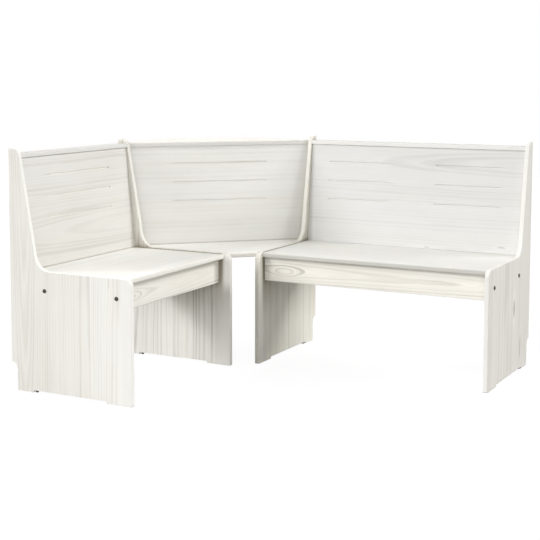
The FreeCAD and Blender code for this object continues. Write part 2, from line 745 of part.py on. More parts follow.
def corner_top():
    """A shelf that closes the corner, its rear corner cut off for the wall."""
    body = corner_body("top_board")
    plan = new_sketch(body, "plan", "XY_Plane", CAP_UNDER)
    half = f"({CORNER_REACH} / 2)"
    draw_outline(plan, [
        ("corner_cut_reach", "-corner_cut_reach"),
        (half, f"-{half}"),
        (TOP_FRONT, f"{TOP_FRONT} - {CORNER_REACH}"),
        (TOP_FRONT, f"{CORNER_REACH} - {TOP_FRONT}"),
        (half, half),
        ("corner_cut_reach", "corner_cut_reach"),
    ])
    board = pad(body, "board", plan, "cap_thickness", UP)
    height = board.Shape.BoundBox.ZMax
    upper = edges_where(board, lambda box: box.XMin > board.Shape.BoundBox.XMax - NEAR
                        and box.YLength > NEAR and box.ZMin > height - NEAR)
    round_edges(body, "rounded_edge", board, upper, "cap_round")
    housing = new_sketch(body, "housing_sketch", "XY_Plane", CAP_UNDER)
    draw_box(housing, (f"{CORNER_REAR} - hole_clearance", f"-{half}"),
             ("corner_back_reach + hole_clearance", half))
    pocket(body, "housing", housing, "cap_housing", UP)
    drill(body, "screw_holes", "XY_Plane", CAP_UNDER, batten_plan_spots(), SCREW_HOLE,
          "batten_screw_length - batten_side + hole_clearance", UP)


def corner_batten():
    body = corner_body("top_batten")
    low = f"({CAP_UNDER} - batten_side)"
    plan = new_sketch(body, "plan", "XY_Plane", low)
    draw_box(plan, (f"{CORNER_REAR} - batten_side", "-batten_length / 2"),
             (CORNER_REAR, "batten_length / 2"))
    pad(body, "batten", plan, "batten_side", UP)
    drill(body, "top_holes", "XY_Plane", low, batten_plan_spots(), SCREW_HOLE, "batten_side", UP)
    drill(body, "back_holes", "YZ_Plane", CORNER_REAR,
          batten_spots(BATTEN_BACK_SHARES, f"{CAP_UNDER} - batten_side / 2"), SCREW_HOLE,
          "batten_side", BACKWARD)


def batten_screws():
    body = corner_body("batten_screws")
    drive_screws(body, "top", "XY_Plane", f"{CAP_UNDER} - batten_side", batten_plan_spots(),
                 "batten_screw_length", UP)
    drive_screws(body, "back", "YZ_Plane", f"{CORNER_REAR} - batten_side",
                 batten_spots(BATTEN_BACK_SHARES, f"{CAP_UNDER} - batten_side / 2"),
                 "batten_screw_length", FORWARD)


def corner_seat_screws():
    body = corner_body("seat_screws")
    drive_screws(body, "seat", "XY_Plane", f"{SEAT_UNDER} - cleat_height",
                 corner_seat_screw_spots(), "seat_screw_length", UP)


def corner_dowels():
    body = corner_body("dowels")
    dowels = pegs(body, "dowels", "XY_Plane", "seat_height - dowel_inset", corner_dowel_spots(),
                  "dowel_diameter", "dowel_length", UP)
    bevel_edges(body, "bevels", dowels, edges_where(dowels, lambda box: box.ZLength < NEAR),
                "dowel_bevel")


# The whole bench

for bench in (LONG, SHORT):
    for end in (-1, 1):
        side_panel(bench, end)
        leveller(bench, end)
    seat_board(bench)
    back_board(bench)
    cap_board(bench)
    for label in RAIL_FACES:
        rail(bench, label)
    connector_bolts(bench)
    barrel_nuts(bench)
    end_dowels(bench, "seat_dowels", seat_dowel_spots())
    end_dowels(bench, "back_dowels", back_dowel_spots())
    end_dowels(bench, "rail_dowels",
               [spot for face in RAIL_FACES.values() for spot in rail_dowel_spots(face)])
    back_screws(bench)
    seat_cleat(bench)
    cleat_screws(bench)
    leveller_inserts(bench)
corner_seat()
corner_back()
corner_top()
corner_batten()
batten_screws()
corner_seat_screws()
corner_dowels()

doc.recompute()
for item in doc.Objects:
    if "Invalid" in item.State or "Error" in item.State:
        raise RuntimeError(f"{item.Label}: {item.State}")
for body in subparts:
    if body.Shape.isNull() or not body.Shape.isValid():
        raise RuntimeError(f"{body.Label}: no valid shape")
os.makedirs("parts", exist_ok=True)
for body in subparts:
    body.Shape.exportStep(os.path.join("parts", f"{body.Label}.step"))
    print(body.Label, len(body.Shape.Solids), "solids", round(body.Shape.Volume), "cubic mm")
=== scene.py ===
# Looks of a corner bench in whitewashed pine, in a pale studio. Lengths are metres.
# x runs along the long bench, y towards the wall behind it, and z up from the floor.
import math
from collections import namedtuple

import bpy
import numpy as np
from mathutils import Matrix, Vector


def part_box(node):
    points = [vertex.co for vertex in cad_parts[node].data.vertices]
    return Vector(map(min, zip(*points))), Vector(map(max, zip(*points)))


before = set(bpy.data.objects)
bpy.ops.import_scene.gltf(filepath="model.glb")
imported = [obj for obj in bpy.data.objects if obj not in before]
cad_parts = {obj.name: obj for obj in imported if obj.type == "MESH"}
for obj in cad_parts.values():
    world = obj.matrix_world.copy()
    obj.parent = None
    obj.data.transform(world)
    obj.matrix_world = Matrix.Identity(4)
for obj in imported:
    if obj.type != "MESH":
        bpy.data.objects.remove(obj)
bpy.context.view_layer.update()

# Directions
RIGHT = Vector((1, 0, 0))
REAR = Vector((0, 1, 0))
UP = Vector((0, 0, 1))
FRONT = -REAR
DIAGONAL = (RIGHT + REAR).normalized()
ROOM = (RIGHT + FRONT).normalized()

# The backs of the two benches lean by this drop over this rise, so their faces look up a little
BACK_DROP = 0.042
BACK_RISE = 0.4205
LEAN = math.atan2(BACK_DROP, BACK_RISE)
LONG_BACK_FACE = FRONT * math.cos(LEAN) + UP * math.sin(LEAN)
SHORT_BACK_FACE = RIGHT * math.cos(LEAN) + UP * math.sin(LEAN)

# A board's own places are measured along its grain, across its face and out of the face.
# Heart: where the middle of the tree lies across the board, how deep behind its face, and how much deeper
# for each metre along the grain.
Heart = namedtuple("Heart", "across depth slope")
# Knot: a knot or an island in the figure. Reach is how many of its own sizes away it still moves the
# growth rings, push how far it moves them, and darkness how much of its own colour shows.
Knot = namedtuple("Knot", "along across half_length half_width reach push darkness")
# Grey along the lower or front edge of a board. Reach is how far in from that edge it goes, and a
# strength below nothing brightens instead. On the seats and in the joints at the feet of the backs the grey
# is painted shade, and the brightening is painted light.
Stain = namedtuple("Stain", "reach strength")


def paint(red, green, blue):
    """A colour chip read as 0 to 255, turned by the sRGB curve into the shader's linear colour."""
    shares = [level / 255 for level in (red, green, blue)]
    return [s / 12.92 if s <= 0.04045 else ((s + 0.055) / 1.055) ** 2.4 for s in shares] + [1.0]


def wood_finish(wash, cream, grain, knot, thick):
    """A wood's colours: wash, creamier patches in it, grain that shows through, knots and edges."""
    chips = {"Wash": wash, "Cream": cream, "Grain": grain, "Knot": knot, "Thick": thick}
    return {name: paint(*chip) for name, chip in chips.items()}


# Wood finishes
THICK_WASH = (247, 246, 241)
# Edge chip of the inner panels, greyer as painted shade on their shaded rims
DULL_WASH = (227, 224, 216)
BROWN_KNOT = (118, 108, 94)
GREY_KNOT = (150, 145, 136)
PANEL_FINISH = wood_finish((240, 239, 234), (238, 233, 223), (190, 184, 172), (128, 118, 104), THICK_WASH)
# Inner side panels: painted light and shade. Their wash is brighter to stand in for light they lack, and
# their grain darker, which the painted shade under the seat blends towards.
SHADED_PANEL_FINISH = wood_finish((252, 250, 245), (249, 246, 237), (150, 142, 124), BROWN_KNOT, DULL_WASH)
DARK_PANEL_FINISH = wood_finish((253, 250, 240), (250, 245, 231), (128, 119, 98), BROWN_KNOT, DULL_WASH)
# Painted shade: the long outer panel faces away from the strongest lamps, so its chips are darker
DULL_PANEL_FINISH = wood_finish((230, 228, 222), (226, 221, 211), (184, 178, 166), (112, 102, 90),
                                (233, 232, 227))
BACK_FINISH = wood_finish((244, 244, 241), (241, 238, 229), (200, 196, 188), GREY_KNOT, THICK_WASH)
# Painted shade: the long back's wash is darker than the other backs' to offset the stronger light on it
LONG_BACK_FINISH = wood_finish((223, 223, 221), (221, 219, 212), (174, 171, 165), (140, 135, 126),
                               THICK_WASH)
SEAT_FINISH = wood_finish((236, 236, 233), (234, 232, 224), (204, 201, 195), GREY_KNOT, (196, 194, 187))
SHORT_SEAT_FINISH = wood_finish((248, 248, 244), (245, 241, 232), (206, 203, 196), GREY_KNOT,
                                (236, 233, 225))
CORNER_SEAT_FINISH = wood_finish((247, 247, 243), (244, 240, 231), (206, 203, 196), GREY_KNOT,
                                 (228, 225, 217))
# Painted shade: the tops of the caps and the corner board take a darker wash than their front edges, holding
# down the strong light from above
CAP_FINISH = wood_finish((190, 188, 183), (188, 184, 176), (170, 166, 158), GREY_KNOT, (226, 225, 221))
CORNER_TOP_FINISH = wood_finish((214, 211, 203), (211, 207, 197), (196, 191, 181), GREY_KNOT,
                                (222, 220, 215))
APRON_FINISH = wood_finish((246, 243, 235), (240, 235, 223), (158, 150, 132), (150, 140, 124), THICK_WASH)
BARE_PINE = wood_finish((232, 214, 178), (226, 200, 156), (196, 158, 108), (120, 80, 48), (232, 214, 178))
TURNED_BEECH = wood_finish((214, 180, 144), (206, 170, 132), (180, 136, 98), (160, 120, 84), (214, 180, 144))
# Painted light that lifts the shade inside grooves
GROOVE_WASH = paint(255, 252, 246)

# Metal finishes, each plain and worn
BLACK_STEEL = paint(66, 64, 60)
BLACK_WORN = paint(112, 109, 104)
DARK_STEEL = paint(30, 30, 31)
DARK_WORN = paint(70, 70, 70)
ZINC = paint(196, 198, 200)
ZINC_WORN = paint(228, 228, 226)


def put(tree, kind, inputs=(), **settings):
    """Adds one shader node. Each input is a number, a vector, a colour or another node's output."""
    made = tree.nodes.new("ShaderNode" + kind)
    for name, value in settings.items():
        setattr(made, name, value)
    fill(tree, made, dict(inputs))
    return made


def fill(tree, made, inputs):
    """Links or sets the inputs of a shader node."""
    for socket, value in inputs.items():
        if isinstance(value, bpy.types.NodeSocket):
            tree.links.new(value, made.inputs[socket])
        else:
            made.inputs[socket].default_value = value


def calc(tree, operation, *terms):
    """One sum over numbers or outputs."""
    return put(tree, "Math", enumerate(terms), operation=operation).outputs[0]


def add_parts(tree, start, parts):
    """Start, plus each output times its weight."""
    for value, weight in parts:
        start = calc(tree, "MULTIPLY_ADD", value, weight, start)
    return start


def rise(tree, value, start, end, low=0.0, high=1.0):
    """A smooth step of value from low at start to high at end."""
    limits = {"Value": value, "From Min": start, "From Max": end, "To Min": low, "To Max": high}
    return put(tree, "MapRange", limits, interpolation_type="SMOOTHSTEP").outputs[0]


def fall(tree, value, start, end, high=1.0):
    """A smooth step of value from high at start to nothing at end."""
    return rise(tree, value, start, end, high, 0.0)


def hump(tree, value, limits, high=1.0):
    """Nothing up to the first limit, high about the second and third, and nothing from the fourth."""
    start, full, fade, end = limits
    return calc(tree, "MULTIPLY", rise(tree, value, start, full, 0.0, high), fall(tree, value, fade, end))


def blend(tree, share, under, over):
    """Colour under, covered by colour over where share is 1."""
    return put(tree, "Mix", {0: share, 6: under, 7: over}, data_type="RGBA").outputs[2]


def pick(tree, share, first, second):
    """Vector first where share is 0, and second where it is 1."""
    return put(tree, "Mix", {0: share, 4: first, 5: second}, data_type="VECTOR").outputs[1]


def centred(tree, value, swing):
    """Noise of 0 to 1, made to swing evenly about nothing."""
    return calc(tree, "MULTIPLY", calc(tree, "SUBTRACT", value, 0.5), swing)


def stretched_noise(tree, place, seed, scale, detail=2.0):
    """Noise over place, with scale its fineness along the grain, across it and through it."""
    finer = put(tree, "VectorMath", {0: place, 1: scale}, operation="MULTIPLY").outputs[0]
    settings = {"Vector": finer, "W": seed, "Scale": 1.0, "Detail": detail}
    return put(tree, "TexNoise", settings, noise_dimensions="4D")


BEVEL_SAMPLES = 4


def arris_mask(tree, width, limits):
    """1 on an arris, where the surface turns within the width given, and 0 on a flat face."""
    normal = put(tree, "NewGeometry").outputs["Normal"]
    softened = put(tree, "Bevel", {"Radius": width}, samples=BEVEL_SAMPLES).outputs[0]
    same = put(tree, "VectorMath", {0: softened, 1: normal}, operation="DOT_PRODUCT").outputs["Value"]
    return fall(tree, same, *limits)


def shader_group(name, inputs, outputs):
    """An empty shader node group and its input and output sockets."""
    group = bpy.data.node_groups.new(name, "ShaderNodeTree")
    kinds = {float: "NodeSocketFloat", tuple: "NodeSocketVector", list: "NodeSocketColor"}
    for label, default in inputs.items():
        socket = group.interface.new_socket(name=label, in_out="INPUT", socket_type=kinds[type(default)])
        socket.default_value = default
    for label, kind in outputs.items():
        group.interface.new_socket(name=label, in_out="OUTPUT", socket_type="NodeSocket" + kind)
    entry = group.nodes.new("NodeGroupInput").outputs
    leave = group.nodes.new("NodeGroupOutput").inputs
    return group, entry, leave


def place_group(tree, group, inputs):
    """Puts a shader node group in a material and returns its outputs."""
    made = tree.nodes.new("ShaderNodeGroup")
    made.node_tree = group
    fill(tree, made, inputs)
    return made.outputs


NOWHERE = (0.0, 0.0, 0.0)
GLUE_LINE = 0.0007


def glued_staves_group():
    """Which of three glued staves a point is in: its heart, its tone and the glue line beside it."""
    group, entry, leave = shader_group(
        "glued_staves",
        {"Place": NOWHERE, "Stave Width": 0.2, "First Heart": NOWHERE, "Second Heart": NOWHERE,
         "Third Heart": NOWHERE, "Tones": NOWHERE},
        {"Heart": "Vector", "Tone": "Float", "Joint": "Float"})
    across = put(group, "SeparateXYZ", {0: entry["Place"]}).outputs["Y"]
    course = calc(group, "DIVIDE", across, entry["Stave Width"])
    past_first = calc(group, "GREATER_THAN", course, 1.0)
    past_second = calc(group, "GREATER_THAN", course, 2.0)
    heart = pick(group, past_first, entry["First Heart"], entry["Second Heart"])
    heart = pick(group, past_second, heart, entry["Third Heart"])
    first, second, third = put(group, "SeparateXYZ", {0: entry["Tones"]}).outputs
    tone = calc(group, "MULTIPLY_ADD", calc(group, "SUBTRACT", second, first), past_first, first)
    tone = calc(group, "MULTIPLY_ADD", calc(group, "SUBTRACT", third, second), past_second, tone)
    nearest_joint = calc(group, "MULTIPLY", calc(group, "ROUND", course), entry["Stave Width"])
    away = calc(group, "ABSOLUTE", calc(group, "SUBTRACT", across, nearest_joint))
    group.links.new(heart, leave["Heart"])
    group.links.new(tone, leave["Tone"])
    group.links.new(fall(group, away, 0.0, GLUE_LINE), leave["Joint"])
    return group


# A knot's edge is ragged. From its middle, in its own sizes, its core fades out and its halo comes and goes.
KNOT_RAG = 0.5
KNOT_RAG_SEED = 4.0
KNOT_RAG_SCALE = (60.0, 160.0, 60.0)
KNOT_CORE = (0.35, 1.05)
KNOT_HALO = (0.8, 1.3, 1.2, 2.6)


def knot_group():
    """A knot or an island in the figure: its dark core, the halo round it, and how it moves the rings."""
    group, entry, leave = shader_group(
        "knot",
        {"Place": NOWHERE, "Spot": NOWHERE, "Half Length": 0.02, "Half Width": 0.008, "Reach": 3.0,
         "Push": 0.0},
        {"Push": "Float", "Core": "Float", "Halo": "Float"})
    offset = put(group, "VectorMath", {0: entry["Place"], 1: entry["Spot"]}, operation="SUBTRACT").outputs[0]
    along, across, _ = put(group, "SeparateXYZ", {0: offset}).outputs
    long_way = calc(group, "DIVIDE", along, entry["Half Length"])
    wide_way = calc(group, "DIVIDE", across, entry["Half Width"])
    long_square = calc(group, "MULTIPLY", long_way, long_way)
    far = calc(group, "SQRT", calc(group, "MULTIPLY_ADD", wide_way, wide_way, long_square))
    ragged = stretched_noise(group, entry["Place"], KNOT_RAG_SEED, KNOT_RAG_SCALE).outputs[0]
    edge = calc(group, "MULTIPLY_ADD", ragged, KNOT_RAG, calc(group, "SUBTRACT", far, KNOT_RAG / 2))
    wide = calc(group, "DIVIDE", far, entry["Reach"])
    fading = calc(group, "EXPONENT", calc(group, "MULTIPLY", calc(group, "MULTIPLY", wide, wide), -1.0))
    group.links.new(calc(group, "MULTIPLY", fading, entry["Push"]), leave["Push"])
    group.links.new(fall(group, edge, *KNOT_CORE), leave["Core"])
    group.links.new(hump(group, edge, KNOT_HALO), leave["Halo"])
    return group


# Growth rings. A scale is the fineness of a noise along the grain, across it and through it.
WANDER_SCALE = (2.2, 6.0, 6.0)
WANDER_DETAIL = 1.0
RIPPLE_SCALE = (7.0, 45.0, 45.0)
# Ripples and the thick and thin spells of years move the rings by up to half of this many rings
RIPPLE_SWING = 0.35
SPELL_SWING = 1.6
SPELLS_PER_METRE = 22.0
# Where in a ring the dark latewood starts, is full, starts to fade and ends
SOFT_BAND = (0.0, 0.6, 0.55, 1.0)
CRISP_BAND = (0.5, 0.86, 0.88, 1.0)
FINE_BAND = (0.1, 0.7, 0.7, 1.0)
FINE_LINES_PER_RING = 4.0
FINE_SHOW = 0.06
# Every ring has at least this much strength, and luck gives it more
LEAST_STRENGTH = 0.1
SEED_STEP = 31.0
FIBRE_SCALE = (9.0, 700.0, 700.0)
FIBRE_DETAIL = 3.0
CANAL_SEED = 2.0
CANAL_SCALE = (110.0, 1500.0, 1500.0)
CANAL_LIMITS = (0.66, 0.78)
CANALS_IN_EARLYWOOD = 0.15


def ring_radius(group, entry):
    """How far a point is from the heart of its tree, moved by the tree's own wandering and by knots."""
    along, across, out = put(group, "SeparateXYZ", {0: entry["Place"]}).outputs
    heart_across, heart_depth, heart_slope = put(group, "SeparateXYZ", {0: entry["Heart"]}).outputs
    wander = stretched_noise(group, entry["Place"], entry["Seed"], WANDER_SCALE, WANDER_DETAIL)
    sway, dip, _ = put(group, "SeparateColor", {0: wander.outputs["Color"]}).outputs
    beside = calc(group, "ADD", calc(group, "SUBTRACT", across, heart_across),
                  centred(group, sway, entry["Waver"]))
    above = calc(group, "ADD", calc(group, "MULTIPLY_ADD", along, heart_slope, heart_depth),
                 calc(group, "ADD", out, centred(group, dip, entry["Waver"])))
    above_square = calc(group, "MULTIPLY", above, above)
    radius = calc(group, "SQRT", calc(group, "MULTIPLY_ADD", beside, beside, above_square))
    return calc(group, "ADD", radius, entry["Push"])


def ring_count(group, entry, radius):
    """Which year's ring a point is in, and how far through it, as one number."""
    ripple = stretched_noise(group, entry["Place"], entry["Seed"], RIPPLE_SCALE).outputs[0]
    years = {"W": calc(group, "MULTIPLY", radius, SPELLS_PER_METRE), "Scale": 1.0, "Detail": 0.0}
    spell = put(group, "TexNoise", years, noise_dimensions="1D").outputs[0]
    moved = calc(group, "ADD", centred(group, ripple, RIPPLE_SWING), centred(group, spell, SPELL_SWING))
    return calc(group, "ADD", calc(group, "DIVIDE", radius, entry["Ring Width"]), moved)


def growth_rings_group():
    """The tree's growth rings as a board cuts them, with the fibres and resin canals between them."""
    group, entry, leave = shader_group(
        "growth_rings",
        {"Place": NOWHERE, "Heart": NOWHERE, "Push": 0.0, "Ring Width": 0.008, "Waver": 0.006, "Crisp": 0.5,
         "Rarity": 1.8, "Seed": 0.0},
        {"Latewood": "Float", "Fibre": "Float", "Pores": "Float"})
    ring = ring_count(group, entry, ring_radius(group, entry))
    phase = calc(group, "FRACT", ring)
    soft_band = hump(group, phase, SOFT_BAND)
    crisp_band = hump(group, phase, CRISP_BAND)
    crisper = calc(group, "SUBTRACT", crisp_band, soft_band)
    band = calc(group, "MULTIPLY_ADD", crisper, entry["Crisp"], soft_band)
    year = calc(group, "MULTIPLY_ADD", entry["Seed"], SEED_STEP, calc(group, "FLOOR", ring))
    luck = put(group, "TexWhiteNoise", {"W": year}, noise_dimensions="1D").outputs["Value"]
    strength = calc(group, "MULTIPLY_ADD", calc(group, "POWER", luck, entry["Rarity"]), 1.0 - LEAST_STRENGTH,
                    LEAST_STRENGTH)
    fine_phase = calc(group, "FRACT", calc(group, "MULTIPLY", ring, FINE_LINES_PER_RING))
    latewood = calc(group, "MULTIPLY_ADD", hump(group, fine_phase, FINE_BAND), FINE_SHOW,
                    calc(group, "MULTIPLY", band, strength))
    fibre = stretched_noise(group, entry["Place"], entry["Seed"], FIBRE_SCALE, FIBRE_DETAIL).outputs[0]
    canals = stretched_noise(group, entry["Place"], CANAL_SEED, CANAL_SCALE, 0.0).outputs[0]
    pores = calc(group, "MULTIPLY", rise(group, canals, *CANAL_LIMITS),
                 calc(group, "ADD", band, CANALS_IN_EARLYWOOD))
    group.links.new(latewood, leave["Latewood"])
    group.links.new(fibre, leave["Fibre"])
    group.links.new(pores, leave["Pores"])
    return group


# Wood skin. Cloudy patches of thicker and thinner wash, and wider patches that are creamier.
CLOUD_SCALE = (2.6, 14.0, 14.0)
CLOUD_LIMITS = (0.3, 0.7)
GRAIN_UNDER_CLOUD = (0.55, 1.15)
CREAM_SCALE = (1.6, 9.0, 9.0)
CREAM_DETAIL = 3.0
CREAM_SEED_STEP = 0.5
CREAM_LIMITS = (0.46, 0.62)
# How strongly fibres, resin canals, glue lines and the halo of a knot show through the wash
FIBRE_LIMITS = (0.35, 0.7)
FIBRE_SHOW = 0.08
PORE_SHOW = 0.18
JOINT_SHOW = 0.18
HALO_SHOW = -0.25
# How far the share of grain may go below nothing, which makes the wash brighter than its own chip
BRIGHTEST = -0.7
# Patches in which the wash is rubbed off the arrises, and how far
ARRIS_WEAR_LIMITS = (0.5, 0.62)
ARRIS_WEAR = 0.35
# Roughness of the wash, and what rings, fibres and knots add to it
WASH_ROUGHNESS = 0.5
LATEWOOD_ROUGHNESS = -0.08
FIBRE_ROUGHNESS = 0.14
KNOT_ROUGHNESS = -0.1
# Shares of the bump's full height
FIBRE_HEIGHT = 0.3
LATEWOOD_HEIGHT = 0.35
PORE_HEIGHT = -0.3
JOINT_HEIGHT = -0.4


def grain_share(group, entry, cloud):
    """How much of the grain's colour shows through the wash. Below nothing the wash is brighter."""
    uneven = rise(group, cloud, *CLOUD_LIMITS, *GRAIN_UNDER_CLOUD)
    figure = calc(group, "MULTIPLY", calc(group, "MULTIPLY", entry["Latewood"], entry["Show"]), uneven)
    streaks = calc(group, "MULTIPLY", rise(group, entry["Fibre"], *FIBRE_LIMITS), FIBRE_SHOW)
    tone = calc(group, "MULTIPLY_ADD", cloud, entry["Mottle"], entry["Tone"])
    # Greying adds painted shade, and painted light where it is below nothing
    share = calc(group, "ADD", calc(group, "ADD", figure, streaks), calc(group, "ADD", tone, entry["Stain"]))
    share = add_parts(group, share, (
        (entry["Pores"], PORE_SHOW), (entry["Joint"], JOINT_SHOW), (entry["Halo"], HALO_SHOW)))
    return calc(group, "MINIMUM", calc(group, "MAXIMUM", share, BRIGHTEST), 1.0)


def washed_colour(group, entry, cloud):
    """The wash with its creamy patches, the grain through it, knots, thick wash on edges, painted shadow on
    edges below the seat, wear, and painted light in grooves.
    """
    cream_seed = calc(group, "ADD", entry["Seed"], CREAM_SEED_STEP)
    drift = stretched_noise(group, entry["Place"], cream_seed, CREAM_SCALE, CREAM_DETAIL).outputs[0]
    creamy = calc(group, "MULTIPLY", rise(group, drift, *CREAM_LIMITS), entry["Cream Share"])
    ground = blend(group, creamy, entry["Wash"], entry["Cream"])
    colours = {0: grain_share(group, entry, cloud), 6: ground, 7: entry["Grain"]}
    colour = put(group, "Mix", colours, data_type="RGBA", clamp_factor=False).outputs[2]
    colour = blend(group, entry["Core"], colour, entry["Knot"])
    colour = blend(group, entry["Edge"], colour, entry["Thick"])
    # Painted shadow on edges below the seat, in the grain's colour
    colour = blend(group, entry["Rub"], colour, entry["Grain"])
    rubbed = calc(group, "MULTIPLY", entry["Arris"], rise(group, cloud, *ARRIS_WEAR_LIMITS, 0.0, ARRIS_WEAR))
    colour = blend(group, rubbed, colour, entry["Grain"])
    # Painted light inside grooves
    return blend(group, entry["Groove"], colour, GROOVE_WASH)


def wood_skin_group():
    """Colour, roughness and height of a wood face from its rings, knots and the wash on it."""
    group, entry, leave = shader_group(
        "wood_skin",
        {"Place": NOWHERE, "Seed": 0.0, "Latewood": 0.0, "Fibre": 0.5, "Pores": 0.0, "Tone": 0.5,
         "Joint": 0.0, "Core": 0.0, "Halo": 0.0, "Stain": 0.0, "Groove": 0.0, "Edge": 0.0, "Rub": 0.0,
         "Arris": 0.0, "Show": 0.5, "Mottle": 0.1, "Cream Share": 0.6, **PANEL_FINISH},
        {"Color": "Color", "Roughness": "Float", "Height": "Float"})
    cloud = stretched_noise(group, entry["Place"], entry["Seed"], CLOUD_SCALE).outputs[0]
    rough = add_parts(group, WASH_ROUGHNESS, (
        (entry["Latewood"], LATEWOOD_ROUGHNESS), (entry["Fibre"], FIBRE_ROUGHNESS),
        (entry["Core"], KNOT_ROUGHNESS)))
    height = add_parts(group, 0.0, (
        (entry["Fibre"], FIBRE_HEIGHT), (entry["Latewood"], LATEWOOD_HEIGHT), (entry["Pores"], PORE_HEIGHT),
        (entry["Joint"], JOINT_HEIGHT)))
    group.links.new(washed_colour(group, entry, cloud), leave["Color"])
    group.links.new(rough, leave["Roughness"])
    group.links.new(height, leave["Height"])
    return group


# Two directions are compared by their cosine. Up to the first limit a face is an edge of the board, or a
# spot lies on an arris, and from the second limit it is neither.
EDGE_LIMITS = (0.6, 0.96)
BOARD_ARRIS = 0.003
BOARD_ARRIS_LIMITS = (0.82, 0.99)


def board_edges_group():
    """Where a board's narrow edges are, from the way its face looks, and where its arrises are."""
    upward = tuple(UP)
    group, entry, leave = shader_group(
        "board_edges", {"Face": upward, "Turn": upward}, {"Edge": "Float", "Arris": "Float"})
    facing = put(group, "VectorMath", {0: entry["Turn"], 1: entry["Face"]}, operation="DOT_PRODUCT")
    square_on = calc(group, "ABSOLUTE", facing.outputs["Value"])
    group.links.new(fall(group, square_on, *EDGE_LIMITS), leave["Edge"])
    group.links.new(arris_mask(group, BOARD_ARRIS, BOARD_ARRIS_LIMITS), leave["Arris"])
    return group


NOOK_REACH = 0.075
NOOK_SAMPLES = 8
NOOK_LIMITS = (0.35, 0.95)


def nooks_group():
    """Where a face lies close to another in an inner corner."""
    group, entry, leave = shader_group("nooks", {"Reach": NOOK_REACH}, {"Nook": "Float"})
    openness = put(group, "AmbientOcclusion", {"Distance": entry["Reach"]}, samples=NOOK_SAMPLES)
    group.links.new(fall(group, openness.outputs["AO"], *NOOK_LIMITS), leave["Nook"])
    return group


# Metal skin. Mottled plating with fine scratches, worn where it is mottled and where an edge is sharp.
METAL_MOTTLE_SEED = 1.0
METAL_MOTTLE_SCALE = (420.0, 420.0, 420.0)
METAL_MOTTLE_DETAIL = 3.0
SCRATCH_SEED = 3.0
SCRATCH_SCALE = (5200.0, 300.0, 2400.0)
SCRATCH_DETAIL = 1.0
METAL_ARRIS = 0.0006
METAL_ARRIS_LIMITS = (0.8, 0.98)
WORN_LIMITS = (0.35, 0.6)
MOTTLE_LIMITS = (0.4, 0.75)
MOTTLE_SHOW = 0.22
MOTTLE_ROUGHNESS = 0.3
SCRATCH_ROUGHNESS = 0.1
SCRATCH_HEIGHT = 0.5


def metal_skin_group():
    """Mottle, fine scratches and worn arrises of a plated or blackened steel part."""
    group, entry, leave = shader_group(
        "metal_skin", {"Place": NOWHERE, "Plain": ZINC, "Worn": ZINC_WORN, "Gloss": 0.35},
        {"Color": "Color", "Roughness": "Float", "Height": "Float"})
    mottle = stretched_noise(
        group, entry["Place"], METAL_MOTTLE_SEED, METAL_MOTTLE_SCALE, METAL_MOTTLE_DETAIL).outputs[0]
    scratch = stretched_noise(group, entry["Place"], SCRATCH_SEED, SCRATCH_SCALE, SCRATCH_DETAIL).outputs[0]
    worn = calc(group, "MULTIPLY", arris_mask(group, METAL_ARRIS, METAL_ARRIS_LIMITS),
                rise(group, mottle, *WORN_LIMITS))
    share = calc(group, "MULTIPLY_ADD", rise(group, mottle, *MOTTLE_LIMITS), MOTTLE_SHOW, worn)
    colour = blend(group, calc(group, "MINIMUM", share, 1.0), entry["Plain"], entry["Worn"])
    rough = calc(group, "ADD", centred(group, mottle, MOTTLE_ROUGHNESS), entry["Gloss"])
    group.links.new(colour, leave["Color"])
    group.links.new(calc(group, "MULTIPLY_ADD", scratch, SCRATCH_ROUGHNESS, rough), leave["Roughness"])
    group.links.new(calc(group, "MULTIPLY_ADD", scratch, SCRATCH_HEIGHT, mottle), leave["Height"])
    return group


GLUED_STAVES = glued_staves_group()
KNOT = knot_group()
GROWTH_RINGS = growth_rings_group()
WOOD_SKIN = wood_skin_group()
BOARD_EDGES = board_edges_group()
NOOKS = nooks_group()
METAL_SKIN = metal_skin_group()


def wear(node, material):
    """Puts a material on every slot of a piece."""
    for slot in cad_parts[node].material_slots:
        slot.material = material


def blank_material(name):
    """A new material, its node tree and its Principled BSDF."""
    material = bpy.data.materials.new(name)
    material.use_nodes = True
    return material, material.node_tree, material.node_tree.nodes["Principled BSDF"]


def cover(tree, surface, skin, bump_strength, bump_height):
    """Feeds a skin's colour, roughness and height to a surface."""
    bump = put(tree, "Bump", {"Height": skin["Height"], "Strength": bump_strength, "Distance": bump_height})
    tree.links.new(skin["Color"], surface.inputs["Base Color"])
    tree.links.new(skin["Roughness"], surface.inputs["Roughness"])
    tree.links.new(bump.outputs[0], surface.inputs["Normal"])


def board_place(tree, node, grain, face):
    """Coordinates of a board's own: x along the grain from one end, y across the face, z out of the face."""
    across = face.cross(grain)
    corners = np.array([v.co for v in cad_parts[node].data.vertices])
    near = min(corners @ np.array(grain))
    low = min(corners @ np.array(across))
    top = max(corners @ np.array(face))
    origin = grain * near + across * low + face * top
    turn = Matrix((grain, across, face)).transposed().to_euler()
    seen = put(tree, "TexCoord").outputs
    settings = {"Vector": seen["Object"], "Location": origin, "Rotation": turn}
    place = put(tree, "Mapping", settings, vector_type="TEXTURE").outputs[0]
    return place, seen["Normal"]


